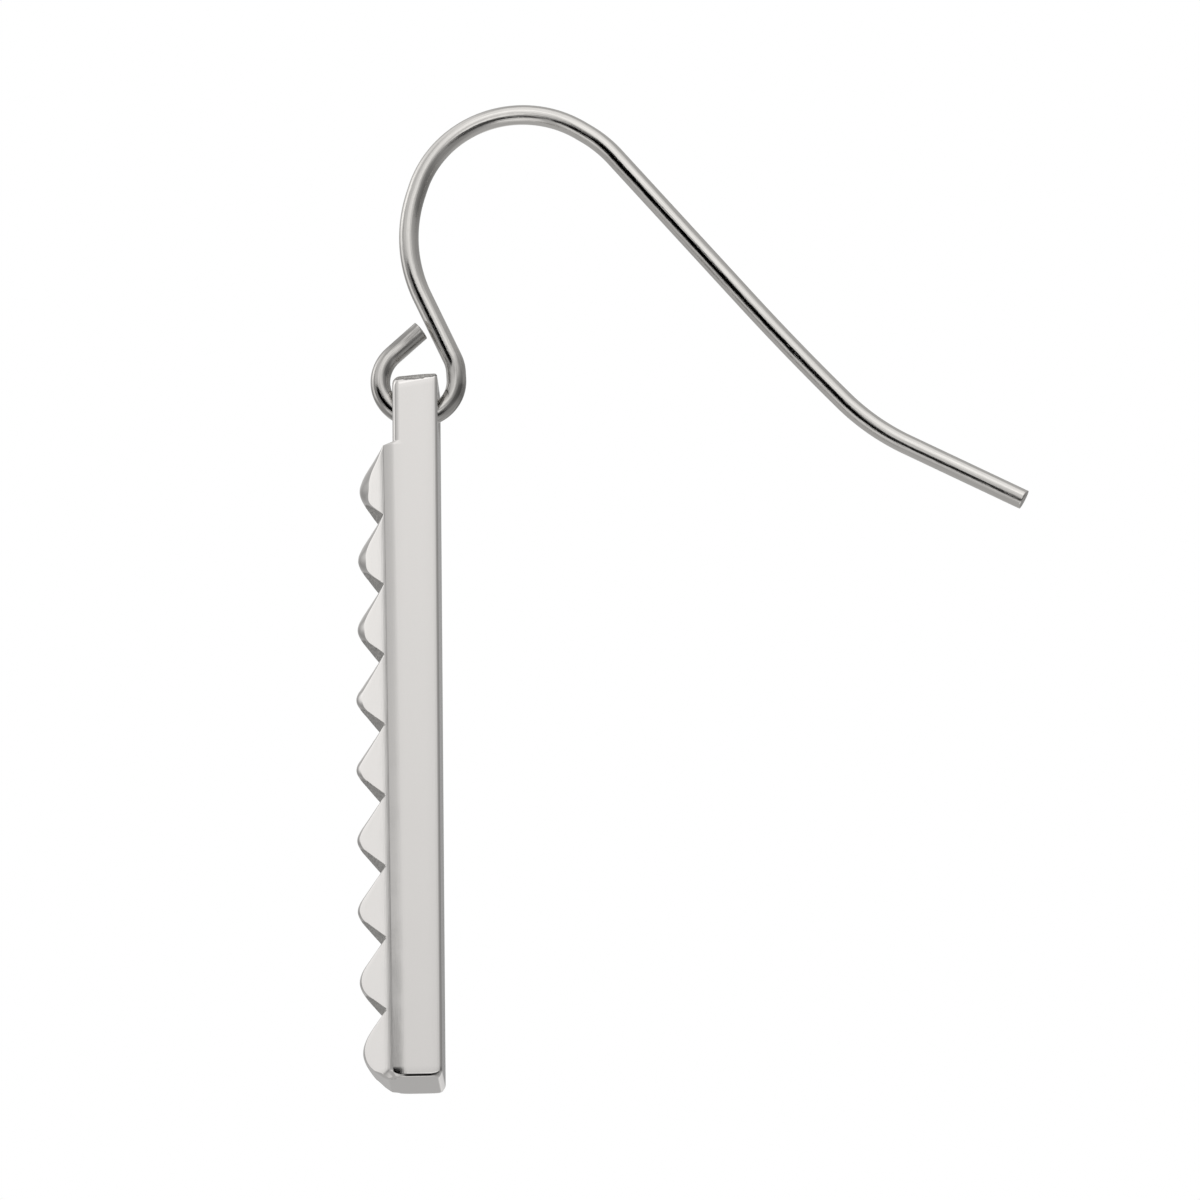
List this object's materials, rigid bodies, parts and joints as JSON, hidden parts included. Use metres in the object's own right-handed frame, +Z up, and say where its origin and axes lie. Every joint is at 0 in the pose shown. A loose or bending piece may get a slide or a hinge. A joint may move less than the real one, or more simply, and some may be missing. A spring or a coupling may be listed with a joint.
{
  "type": "dangle earring",
  "caption": "Slim drop earring: a polished steel bar faced with a row of pyramid studs, hung by its pierced tab from the eye of an open French ear wire.",
  "frame": {"origin": "inside top of the bow of the ear wire, where the pierced ear lobe carries it", "axes": "+Z up along the hanging bar, -Y the way the studs face, +Y the way the tail of the wire points, X across the bar; the wire lies in the plane X = 0"},
  "size_m": [0.003, 0.0263, 0.04],
  "materials": {
    "steel_wire": "polished stainless wire with faint drawing lines",
    "polished_steel": "mirror polished stainless steel, left matte and scratched in the valleys between the studs"
  },
  "bodies": {
    "hook": {"ear_hook": "steel_wire"},
    "drop": {"drop_bar": "polished_steel"}
  },
  "joints": [
    {"name": "drop_swing", "type": "hinge", "parent": "hook", "child": "drop", "pos_m": [0, -0.00405, -0.01225], "axis": [0, 1, 0], "range_deg": [-90, 90]}
  ]
}
